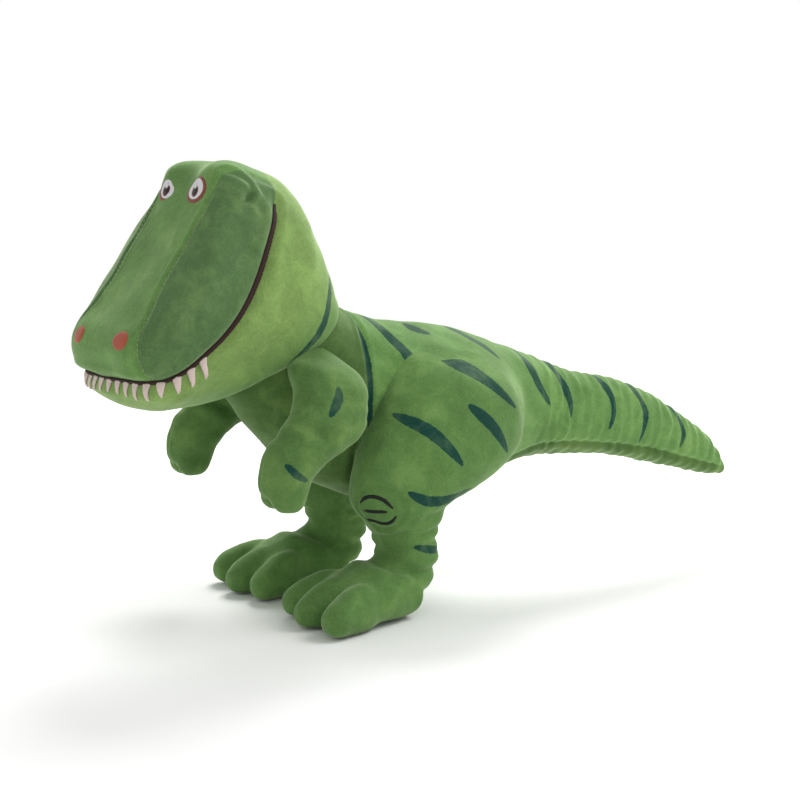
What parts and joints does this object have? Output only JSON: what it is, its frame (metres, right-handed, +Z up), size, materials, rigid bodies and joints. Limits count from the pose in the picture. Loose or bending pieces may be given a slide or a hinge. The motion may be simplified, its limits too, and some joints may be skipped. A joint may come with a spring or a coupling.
{
  "type": "stuffed dinosaur",
  "caption": "Standing plush dinosaur: large head with felt teeth and stitched mouth, small arms, two soft feet and a tapering tail; neck, limbs and tail bend.",
  "frame": {"origin": "centre of the bounding box, on the level the soles stand on", "axes": "+X the way the snout points, +Y the toy's left side, +Z up"},
  "size_m": [0.5486, 0.1976, 0.3191],
  "materials": {
    "plush_body": "short-pile plush, soft nap, matte",
    "plush_muzzle": "short-pile plush, cooler green, matte",
    "plush_jaw": "short-pile plush, light yellow-green, matte",
    "plush_belly": "short-pile plush, darker green, matte",
    "felt_tooth": "cut felt",
    "mouth_thread": "satin-stitched thread",
    "nostril_felt": "satin-stitched thread",
    "eye_embroidery": "satin-stitched thread in rings",
    "fibre_fill": "loose polyester fibre"
  },
  "bodies": {
    "body": {"belly_panel": "plush_belly", "body_stuffing": "fibre_fill", "left_side_panel": "plush_body", "right_side_panel": "plush_body"},
    "neck": {"neck_skin": "plush_jaw", "neck_stuffing": "fibre_fill"},
    "head": {"forehead_strip": "plush_muzzle", "head_stuffing": "fibre_fill", "left_cheek_panel": "plush_muzzle", "left_eye_patch": "eye_embroidery", "left_jaw_panel": "plush_jaw", "left_nostril_patch": "nostril_felt", "mouth_cord": "mouth_thread", "right_cheek_panel": "plush_muzzle", "right_eye_patch": "eye_embroidery", "right_jaw_panel": "plush_jaw", "right_nostril_patch": "nostril_felt", "teeth": "felt_tooth"},
    "tail_base": {"tail_base_left_panel": "plush_body", "tail_base_right_panel": "plush_body", "tail_base_stuffing": "fibre_fill", "tail_base_under_panel": "plush_belly"},
    "tail_tip": {"tail_tip_left_panel": "plush_body", "tail_tip_right_panel": "plush_body", "tail_tip_stuffing": "fibre_fill", "tail_tip_under_panel": "plush_belly"},
    "left_arm": {"left_arm_inner_panel": "plush_body", "left_arm_outer_panel": "plush_body", "left_arm_stuffing": "fibre_fill"},
    "right_arm": {"right_arm_inner_panel": "plush_body", "right_arm_outer_panel": "plush_body", "right_arm_stuffing": "fibre_fill"},
    "left_leg": {"left_foot_upper": "plush_body", "left_knee_patch": "plush_body", "left_leg_inner_panel": "plush_body", "left_leg_outer_panel": "plush_body", "left_leg_stuffing": "fibre_fill", "left_sole": "plush_belly"},
    "right_leg": {"right_foot_upper": "plush_body", "right_knee_patch": "plush_body", "right_leg_inner_panel": "plush_body", "right_leg_outer_panel": "plush_body", "right_leg_stuffing": "fibre_fill", "right_sole": "plush_belly"}
  },
  "joints": [
    {"name": "neck_turn", "type": "hinge", "parent": "body", "child": "neck", "pos_m": [0.13365, 0, 0.191], "axis": [0, 0, 1], "range_deg": [-22, 8]},
    {"name": "head_nod", "type": "hinge", "parent": "neck", "child": "head", "pos_m": [0.13365, 0, 0.191], "axis": [-0.1219, 0.9925, 0], "range_deg": [-10, 10]},
    {"name": "tail_wag", "type": "hinge", "parent": "body", "child": "tail_base", "pos_m": [-0.06935, 0, 0.137], "axis": [0, 0, 1], "range_deg": [-18, 18]},
    {"name": "tail_tip_lift", "type": "hinge", "parent": "tail_base", "child": "tail_tip", "pos_m": [-0.16135, 0, 0.12], "axis": [0, 1, 0], "range_deg": [-18, 18]},
    {"name": "left_arm_swing", "type": "hinge", "parent": "body", "child": "left_arm", "pos_m": [0.13165, 0.059, 0.176], "axis": [0, -1, 0], "range_deg": [-18, 30]},
    {"name": "right_arm_swing", "type": "hinge", "parent": "body", "child": "right_arm", "pos_m": [0.13165, -0.059, 0.176], "axis": [0, -1, 0], "range_deg": [-18, 30]},
    {"name": "left_hip", "type": "hinge", "parent": "body", "child": "left_leg", "pos_m": [0.02965, 0.059, 0.126], "axis": [0, -1, 0], "range_deg": [-18, 18]},
    {"name": "right_hip", "type": "hinge", "parent": "body", "child": "right_leg", "pos_m": [0.02965, -0.059, 0.126], "axis": [0, -1, 0], "range_deg": [-18, 18]}
  ]
}
